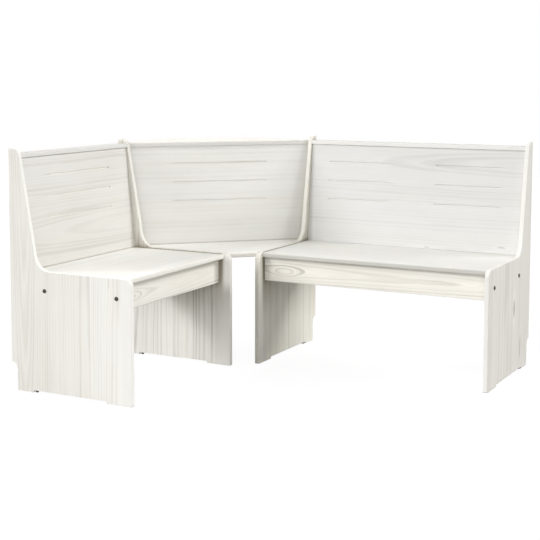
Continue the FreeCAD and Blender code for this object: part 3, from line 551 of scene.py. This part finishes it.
# What a board is like where its own call says nothing else. The tree: the width of the glued staves, their
# hearts, knots, the width of a ring, how far rings waver, how crisp they are, how rare dark ones are, and
# how strongly they show.
# The wash: how uneven it is, how dark on each stave, its creamy share, how thick on edges, and how much
# painted light is in grooves.
# Marks: greying, painted shade in the joint at the foot, painted shadow on edges below the seat, painted
# shade under the seat, its strip before the apron, and where the front edge lies across a side panel.
PLAIN_BOARD = {
    "stave": 1.0, "hearts": (Heart(0.05, 0.05, 0.0),), "knots": (), "ring": 0.013, "waver": 0.012,
    "crisp": 0.3, "rarity": 1.8, "show": 0.4,
    "mottle": 0.13, "tones": (0.06, 0.06, 0.06), "cream_share": 0.5, "thick": 0.0, "groove": 0.0,
    "stains": (), "seam": 0.0, "rub": 0.0, "under": 0.0, "strip": 0.0, "front_edge": 0.0}
MOST_STAVES = 3
WOOD_BUMP = 0.5
WOOD_RELIEF = 0.0004

# Where marks lie on a board: the painted shade up from the foot, and painted light in grooves inwards from
# the face
SEAM_LIMITS = (0.0012, 0.0035)
GROOVE_LIMITS = (-0.012, -0.009, -0.0016, -0.0004)
# The share of a greying's reach over which it keeps its full strength
STAIN_CORE_SHARE = 0.2
# Heights over which the painted shadow on a panel's edges fades out below the seat
RUB_LIMITS = (0.36, 0.44)

# Painted shade in the inner corners of a side panel: it starts above the floor and behind the apron, and
# weakens above the seat.
# Here and below, heights are from the floor, and depths from the front edge.
NOOK_HEIGHTS = (0.03, 0.13)
NOOK_DEPTHS = (0.03, 0.045)
SEAT_HEIGHTS = (0.44, 0.47)
NOOKS_ABOVE_SEAT = 0.55
# Painted shade under the seat, weaker towards the rear. Its strip before the apron ends at the apron's foot.
SHADE_HEIGHTS = (0.1, 0.4, 0.44, 0.46)
SHADE_DEPTHS = (0.05, 0.33)
SHADE_AT_FRONT = 1.35
SHADE_AT_REAR = 0.65
STRIP_HEIGHTS = (0.28, 0.35)
STRIP_DEPTHS = (0.02, 0.045)


def under_seat_shade(tree, along, across, look):
    """Painted shade on a side panel under its seat, darker in the corners behind the apron."""
    depth = calc(tree, "ABSOLUTE", calc(tree, "SUBTRACT", across, look["front_edge"]))
    corners = calc(tree, "MULTIPLY", place_group(tree, NOOKS, {"Reach": NOOK_REACH})["Nook"],
                   rise(tree, along, *NOOK_HEIGHTS))
    corners = calc(tree, "MULTIPLY", corners, rise(tree, along, *SEAT_HEIGHTS, 1.0, NOOKS_ABOVE_SEAT))
    corners = calc(tree, "MULTIPLY", corners, rise(tree, depth, *NOOK_DEPTHS))
    strip = fall(tree, along, *STRIP_HEIGHTS, look["strip"])
    towards_rear = calc(tree, "MULTIPLY", rise(tree, depth, *SHADE_DEPTHS, SHADE_AT_FRONT, SHADE_AT_REAR),
                        rise(tree, depth, *STRIP_DEPTHS, strip, 1.0))
    return calc(tree, "MULTIPLY_ADD", hump(tree, along, SHADE_HEIGHTS, look["under"]), towards_rear, corners)


def knots_on(tree, place, knots):
    """All the knots of a board: their push on the rings, dark cores and halos."""
    push, core, halo = 0.0, 0.0, 0.0
    for knot in knots:
        made = place_group(tree, KNOT, {
            "Place": place, "Spot": (knot.along, knot.across, 0.0), "Half Length": knot.half_length,
            "Half Width": knot.half_width, "Reach": knot.reach, "Push": knot.push})
        push = calc(tree, "ADD", made["Push"], push)
        core = calc(tree, "MULTIPLY_ADD", made["Core"], knot.darkness, core)
        halo = calc(tree, "MULTIPLY_ADD", made["Halo"], knot.darkness, halo)
    return push, core, halo


def board_figure(tree, place, across, seed, look):
    """What grew in a board and how it was glued: rings, fibres, canals, knots, tones and glue lines."""
    hearts = look["hearts"]
    first, second, third = (hearts + hearts[-1:] * MOST_STAVES)[:MOST_STAVES]
    staves = place_group(tree, GLUED_STAVES, {
        "Place": place, "Stave Width": look["stave"], "First Heart": first, "Second Heart": second,
        "Third Heart": third, "Tones": look["tones"]})
    push, core, halo = knots_on(tree, place, look["knots"])
    # Painted shade in the joint at the foot of a back, in the knots' colour
    if look["seam"]:
        core = calc(tree, "ADD", fall(tree, across, *SEAM_LIMITS, look["seam"]), core)
    rings = place_group(tree, GROWTH_RINGS, {
        "Place": place, "Heart": staves["Heart"], "Push": push, "Ring Width": look["ring"],
        "Waver": look["waver"], "Crisp": look["crisp"], "Rarity": look["rarity"], "Seed": seed})
    return {"Latewood": rings["Latewood"], "Fibre": rings["Fibre"], "Pores": rings["Pores"],
            "Tone": staves["Tone"], "Joint": staves["Joint"], "Core": core, "Halo": halo}


def board_marks(tree, spot, turned, face, look):
    """What is painted on a board: light in its grooves, wash on its edges, greying, shade, and shadow on its
    edges.
    """
    along, across, out = spot
    edges = place_group(tree, BOARD_EDGES, {"Face": face, "Turn": turned})
    stain = under_seat_shade(tree, along, across, look) if look["under"] else 0.0
    for reach, strength in look["stains"]:
        stain = calc(tree, "ADD", fall(tree, across, STAIN_CORE_SHARE * reach, reach, strength), stain)
    return {"Stain": stain, "Arris": edges["Arris"],
            "Groove": hump(tree, out, GROOVE_LIMITS, look["groove"]),
            "Edge": calc(tree, "MULTIPLY", edges["Edge"], look["thick"]),
            "Rub": calc(tree, "MULTIPLY", edges["Edge"], fall(tree, along, *RUB_LIMITS, look["rub"]))}


def wood_material(node, finish, grain, face, seed, **changes):
    """Dresses one board in wood, its grain laid along the direction given and its face looking out."""
    look = {**PLAIN_BOARD, **changes}
    material, tree, surface = blank_material(node + "_wood")
    place, turned = board_place(tree, node, grain, face)
    spot = put(tree, "SeparateXYZ", {0: place}).outputs
    figure = board_figure(tree, place, spot["Y"], seed, look)
    marks = board_marks(tree, spot, turned, face, look)
    skin = place_group(tree, WOOD_SKIN, {
        "Place": place, "Seed": seed, "Show": look["show"], "Mottle": look["mottle"],
        "Cream Share": look["cream_share"], **finish, **figure, **marks})
    cover(tree, surface, skin, WOOD_BUMP, WOOD_RELIEF)
    wear(node, material)


METAL_BUMP = 0.25
METAL_RELIEF = 0.00015


def metal_material(name, plain, worn, gloss, metallic):
    """A steel finish for bolts, screws, nuts and levelling feet."""
    material, tree, surface = blank_material(name)
    place = put(tree, "TexCoord").outputs["Object"]
    skin = place_group(tree, METAL_SKIN, {"Place": place, "Plain": plain, "Worn": worn, "Gloss": gloss})
    surface.inputs["Metallic"].default_value = metallic
    cover(tree, surface, skin, METAL_BUMP, METAL_RELIEF)
    return material


# Side panels, grain upright. Across starts at the front edge on the short bench, at the wall on the long.
panel_low, panel_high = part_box("long_inner_side_panel")
PANEL_DEPTH = panel_high.y - panel_low.y
PANEL_STAVE = 0.178
SHORT_PANEL_HEARTS = (Heart(0.02, 0.09, 0.004), Heart(0.20, 0.05, 0.002), Heart(0.47, 0.045, -0.03))
LONG_PANEL_HEARTS = (Heart(0.06, 0.05, -0.02), Heart(0.31, 0.06, 0.004), Heart(0.53, 0.09, 0.002))
ARM_STREAK = Knot(along=0.436, across=0.096, half_length=0.028, half_width=0.006, reach=3.0, push=0.003,
                  darkness=0.12)
PANEL_KNOT = Knot(along=0.261, across=0.212, half_length=0.042, half_width=0.008, reach=3.0, push=-0.008,
                  darkness=1.0)
PITCH_STREAK = Knot(along=0.095, across=0.122, half_length=0.06, half_width=0.0065, reach=2.0, push=0.0,
                    darkness=0.6)
SHORT_PANEL = {"stave": PANEL_STAVE, "hearts": SHORT_PANEL_HEARTS, "crisp": 0.0, "thick": 0.85}
LONG_PANEL = {"stave": PANEL_STAVE, "hearts": LONG_PANEL_HEARTS, "thick": 0.85}
INNER_PANEL = {"show": 0.42, "waver": 0.01, "tones": (0.0, 0.0, 0.0)}


def side_panels():
    wood_material("short_outer_side_panel", PANEL_FINISH, UP, FRONT, seed=1.0, **SHORT_PANEL,
                  knots=(ARM_STREAK,), show=0.34, ring=0.0085, cream_share=0.3, tones=(0.0, 0.08, 0.16),
                  rarity=0.9)
    # Both inner panels carry painted shade under their seats.
    wood_material("short_inner_side_panel", SHADED_PANEL_FINISH, UP, FRONT, seed=2.0, **SHORT_PANEL,
                  **INNER_PANEL, mottle=0.04, rarity=0.9, under=0.46, strip=0.9)
    # Its front edge below the seat carries painted shadow.
    wood_material("long_inner_side_panel", DARK_PANEL_FINISH, UP, RIGHT, seed=3.0, **LONG_PANEL,
                  **INNER_PANEL, ring=0.0085, crisp=0.2, mottle=0.03, rub=0.33, rarity=1.1, under=0.54,
                  front_edge=PANEL_DEPTH)
    wood_material("long_outer_side_panel", DULL_PANEL_FINISH, UP, RIGHT, seed=4.0, **LONG_PANEL,
                  knots=(PANEL_KNOT, PITCH_STREAK), show=0.45, ring=0.02, crisp=0.0, cream_share=0.4)


# Backs, their lower stave first
BACK_STAVE = 0.21
SHORT_BACK_HEARTS = (Heart(0.119, 0.0491, -0.0605), Heart(0.52, 0.03, 0.004))
LONG_BACK_HEARTS = (Heart(-0.12, 0.06, 0.003), Heart(0.355, 0.0733, -0.068))
CORNER_BACK_HEARTS = (Heart(0.46, 0.05, 0.004), Heart(-0.1, 0.09, 0.002))
LEFT_KNOT = Knot(along=0.542, across=0.007, half_length=0.017, half_width=0.004, reach=3.0, push=0.003,
                 darkness=0.35)
RIGHT_KNOT = Knot(along=0.856, across=0.026, half_length=0.021, half_width=0.005, reach=3.0, push=0.003,
                  darkness=0.35)
FAINT_STAIN = Stain(reach=0.16, strength=0.14)
# Painted shade in the joint between a back and the seat
SEAM_STAIN = Stain(reach=0.007, strength=0.75)
# Painted light along the long back's foot, lifting the shade in its joint with the seat
LONG_SEAM_SHINE = Stain(reach=0.01, strength=-0.22)


def backs():
    wood_material("long_back_board", LONG_BACK_FINISH, RIGHT, LONG_BACK_FACE, seed=5.0, stave=BACK_STAVE,
                  hearts=LONG_BACK_HEARTS, knots=(LEFT_KNOT, RIGHT_KNOT), show=0.34, cream_share=0.15,
                  tones=(0.08, 0.08, 0.08), stains=(LONG_SEAM_SHINE,), groove=0.3)
    wood_material("short_back_board", BACK_FINISH, REAR, SHORT_BACK_FACE, seed=6.0, stave=BACK_STAVE,
                  hearts=SHORT_BACK_HEARTS, show=0.38, cream_share=0.4, tones=(0.38, 0.34, 0.34),
                  stains=(FAINT_STAIN, SEAM_STAIN), groove=0.55, seam=0.75)
    wood_material("corner_back_board", BACK_FINISH, DIAGONAL, ROOM, seed=7.0, stave=BACK_STAVE,
                  hearts=CORNER_BACK_HEARTS, ring=0.02, crisp=0.0, show=0.22, cream_share=0.35,
                  tones=(0.04, 0.02, 0.02), stains=(FAINT_STAIN, SEAM_STAIN), groove=0.4)


# Seats. All but the corner one carry painted shade towards the front edge, holding down the brighter light
# there.
SEAT_STAVE = 0.222
CORNER_SEAT_STAVE = 0.174
LONG_SEAT_HEARTS = (Heart(0.4, 0.06, 0.01), Heart(0.5, 0.08, 0.0))
SHORT_SEAT_HEARTS = (Heart(-0.1, 0.06, 0.01), Heart(0.3, 0.08, 0.0))
CORNER_SEAT_HEARTS = (Heart(0.3, 0.08, 0.004), Heart(-0.1, 0.08, 0.0))
LONG_SEAT_WEAR = Stain(reach=0.42, strength=0.25)
SHORT_SEAT_WEAR = Stain(reach=0.3, strength=0.15)


def seats():
    wood_material("long_seat_board", SEAT_FINISH, RIGHT, UP, seed=8.0, stave=SEAT_STAVE,
                  hearts=LONG_SEAT_HEARTS, show=0.26, thick=1.0, stains=(LONG_SEAT_WEAR,))
    wood_material("short_seat_board", SHORT_SEAT_FINISH, REAR, UP, seed=9.0, stave=SEAT_STAVE,
                  hearts=SHORT_SEAT_HEARTS, show=0.42, thick=1.0, stains=(SHORT_SEAT_WEAR,))
    wood_material("corner_seat_board", CORNER_SEAT_FINISH, DIAGONAL, UP, seed=10.0, stave=CORNER_SEAT_STAVE,
                  hearts=CORNER_SEAT_HEARTS, show=0.26, thick=1.0)


# Aprons and rails. Near one end of each apron is an island in the figure, and the heart runs on from it.
APRON_HEART = Heart(0.05, 0.05, 0.012)
LONG_ISLAND = Knot(along=0.09, across=0.04, half_length=0.05, half_width=0.02, reach=1.1, push=-0.0135,
                   darkness=0.0)
SHORT_ISLAND = Knot(along=0.08, across=0.042, half_length=0.05, half_width=0.022, reach=1.1, push=-0.0135,
                    darkness=0.0)
# Grey on the lower half of the long apron
APRON_SHADE = Stain(reach=0.06, strength=0.05)
APRON = {"hearts": (APRON_HEART,), "ring": 0.0075, "crisp": 0.8, "waver": 0.008, "cream_share": 0.3,
         "tones": (0.0, 0.0, 0.0), "mottle": 0.05, "rarity": 0.9}
LONG_HEART = Heart(0.2, 0.05, 0.0)
SHORT_HEART = Heart(-0.1, 0.05, 0.0)


def aprons_and_rails():
    wood_material("long_front_apron", APRON_FINISH, RIGHT, FRONT, seed=11.0, **APRON, knots=(LONG_ISLAND,),
                  show=0.85, stains=(APRON_SHADE,))
    wood_material("short_front_apron", APRON_FINISH, REAR, RIGHT, seed=12.0, **APRON, knots=(SHORT_ISLAND,),
                  show=0.65)
    wood_material("long_rear_rail", APRON_FINISH, RIGHT, FRONT, seed=13.0, hearts=(LONG_HEART,))
    wood_material("short_rear_rail", APRON_FINISH, REAR, RIGHT, seed=14.0, hearts=(SHORT_HEART,))


# Caps along the backs, and the board over the corner
CORNER_TOP_STAVE = 0.225
CORNER_TOP_HEARTS = (Heart(0.1, 0.05, 0.01), Heart(0.5, 0.07, 0.0))


def caps():
    wood_material("long_cap_board", CAP_FINISH, RIGHT, UP, seed=15.0, hearts=(LONG_HEART,), thick=1.0)
    wood_material("short_cap_board", CAP_FINISH, REAR, UP, seed=16.0, hearts=(SHORT_HEART,), thick=1.0)
    wood_material("corner_top_board", CORNER_TOP_FINISH, DIAGONAL, UP, seed=17.0, stave=CORNER_TOP_STAVE,
                  hearts=CORNER_TOP_HEARTS, show=0.3, thick=1.0)


# Woodwork that only shows from below or not at all
SAWN_PINE = {"show": 0.7, "ring": 0.004}
TURNED_DOWEL = {"show": 0.3, "ring": 0.002}
FIRST_DOWEL_SEED = 21.0


def hidden_woodwork():
    wood_material("long_corner_cleat", BARE_PINE, REAR, UP, seed=18.0, **SAWN_PINE)
    wood_material("short_corner_cleat", BARE_PINE, RIGHT, UP, seed=19.0, **SAWN_PINE)
    wood_material("corner_top_batten", BARE_PINE, DIAGONAL, UP, seed=20.0, **SAWN_PINE)
    for bench, run in (("long", RIGHT), ("short", REAR)):
        for number, kind in enumerate(("seat", "back", "rail")):
            node = f"{bench}_{kind}_dowels"
            wood_material(node, TURNED_BEECH, run, UP, seed=FIRST_DOWEL_SEED + number, **TURNED_DOWEL)
    wood_material("corner_dowels", TURNED_BEECH, UP, RIGHT, seed=25.0, **TURNED_DOWEL)


def fasteners():
    black = metal_material("blackened_bolts", BLACK_STEEL, BLACK_WORN, gloss=0.42, metallic=0.6)
    dark = metal_material("dark_levelling_feet", DARK_STEEL, DARK_WORN, gloss=0.5, metallic=0.6)
    zinc = metal_material("zinc_plating", ZINC, ZINC_WORN, gloss=0.34, metallic=1.0)
    finishes = {"connector_bolts": black, "leveller": dark, "barrel_nuts": zinc, "leveller_inserts": zinc,
                "screws": zinc}
    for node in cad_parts:
        for ending, material in finishes.items():
            if node.endswith(ending):
                wear(node, material)


# Studio floor. It lights the bench as plain paint, and seen straight it glows close to white.
FLOOR_REACH = 9.0
FLOOR_PAINT = paint(192, 192, 192)
FLOOR_GLOW = 0.94
FLOOR_VEIL = [0.08, 0.08, 0.08, 1.0]
WHITE = [1.0, 1.0, 1.0, 1.0]


def seen_rays(tree):
    """1 for rays that come from the eye, a gloss or glass, and 0 for rays that carry light."""
    path = put(tree, "LightPath").outputs
    glossy = calc(tree, "MAXIMUM", path["Is Camera Ray"], path["Is Glossy Ray"])
    return calc(tree, "MAXIMUM", glossy, path["Is Transmission Ray"])


def floor_material():
    """Pale paint that looks close to white and still takes a faint shadow."""
    material, tree, surface = blank_material("floor_paint")
    tree.nodes.remove(surface)
    plain = put(tree, "BsdfDiffuse", {"Color": FLOOR_PAINT}).outputs[0]
    veil = put(tree, "BsdfDiffuse", {"Color": FLOOR_VEIL}).outputs[0]
    glow = put(tree, "Emission", {"Color": WHITE, "Strength": FLOOR_GLOW}).outputs[0]
    bright = put(tree, "AddShader", {0: veil, 1: glow}).outputs[0]
    final = put(tree, "MixShader", {0: seen_rays(tree), 1: plain, 2: bright}).outputs[0]
    tree.links.new(final, tree.nodes["Material Output"].inputs["Surface"])
    return material


def floor():
    mesh = bpy.data.meshes.new("studio_floor")
    far = FLOOR_REACH
    mesh.from_pydata([(-far, -far, 0), (far, -far, 0), (far, far, 0), (-far, far, 0)], [], [(0, 1, 2, 3)])
    mesh.materials.append(floor_material())
    ground = bpy.data.objects.new("studio_floor", mesh)
    bpy.context.scene.collection.objects.link(ground)


def sky():
    """White to the eye and in a gloss, with no other light of its own."""
    world = bpy.data.worlds.new("studio_sky")
    world.use_nodes = True
    tree = world.node_tree
    background = tree.nodes["Background"]
    background.inputs["Color"].default_value = WHITE
    tree.links.new(seen_rays(tree), background.inputs["Strength"])
    bpy.context.scene.world = world


# Lamps. Degrees: around from the front towards the right, above from level, softness as wide as it looks.
Lamp = namedtuple("Lamp", "name around above strength softness")
LAMPS = (Lamp("low_left_lamp", around=-30, above=20, strength=1.25, softness=25),
         Lamp("far_left_lamp", around=-60, above=35, strength=1.2, softness=15),
         Lamp("front_lamp", around=0, above=35, strength=0.5, softness=25),
         Lamp("low_right_lamp", around=30, above=20, strength=0.62, softness=25),
         Lamp("right_lamp", around=90, above=20, strength=0.42, softness=25),
         Lamp("high_right_lamp", around=105, above=50, strength=0.85, softness=25),
         Lamp("rear_right_lamp", around=123, above=35, strength=1.3, softness=18),
         Lamp("rear_left_lamp", around=-150, above=35, strength=0.75, softness=25))


def lamps():
    for lamp in LAMPS:
        light = bpy.data.lights.new(lamp.name, "SUN")
        light.energy = lamp.strength
        light.angle = math.radians(lamp.softness)
        stand = bpy.data.objects.new(lamp.name, light)
        around, above = math.radians(lamp.around), math.radians(lamp.above)
        level = RIGHT * math.sin(around) + FRONT * math.cos(around)
        aim = level * math.cos(above) + UP * math.sin(above)
        stand.rotation_euler = aim.to_track_quat("Z", "Y").to_euler()
        bpy.context.scene.collection.objects.link(stand)


# The photograph's camera. The picture, the focal length and the lens axis are in pixels, the sensor is in
# millimetres and the angles are degrees.
PICTURE = 540
SENSOR = 36.0
EYE = Vector((2.1473, -4.2358, 1.1899))
PITCH_DOWN = 5.5
YAW_LEFT = 28.79
FOCUS = 1244.25
AXIS_ACROSS = 240.0
AXIS_DOWN = 187.74


def camera():
    """Set to the photograph's view, with the lens shifted as its framing is."""
    lens = bpy.data.cameras.new("photo_camera")
    lens.sensor_width = SENSOR
    lens.lens = FOCUS * SENSOR / PICTURE
    middle = (PICTURE - 1) / 2
    lens.shift_x = (middle - AXIS_ACROSS) / PICTURE
    lens.shift_y = (AXIS_DOWN - middle) / PICTURE
    stand = bpy.data.objects.new("photo_camera", lens)
    stand.location = EYE
    stand.rotation_euler = (math.radians(90 - PITCH_DOWN), 0.0, math.radians(YAW_LEFT))
    bpy.context.scene.collection.objects.link(stand)
    bpy.context.scene.camera = stand


camera()
side_panels()
backs()
seats()
aprons_and_rails()
caps()
hidden_woodwork()
fasteners()
floor()
sky()
lamps()
bpy.context.scene.view_settings.view_transform = "Standard"

bpy.context.view_layer.update()
